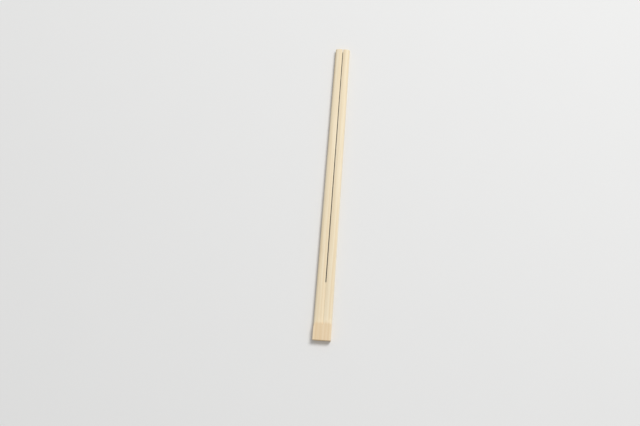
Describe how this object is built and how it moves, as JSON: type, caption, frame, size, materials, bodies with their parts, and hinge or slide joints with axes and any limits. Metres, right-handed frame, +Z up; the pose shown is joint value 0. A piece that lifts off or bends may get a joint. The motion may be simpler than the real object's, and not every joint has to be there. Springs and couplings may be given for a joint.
{
  "type": "joined bamboo chopstick pair",
  "caption": "Disposable bamboo chopsticks milled side by side from one strip, parted by a thin slit and still joined at a square head.",
  "frame": {"origin": "under the middle of the pair, on the surface that it lies on", "axes": "+Y along the length from the head to the tips, +X across the width, +Z up through the thickness"},
  "size_m": [0.0126, 0.21, 0.005],
  "materials": {
    "bamboo": "pale natural bamboo, planed and milled, uncoated, satin with fine fibres along the length"
  },
  "bodies": {
    "root": {"chopstick_pair": "bamboo"}
  },
  "joints": []
}
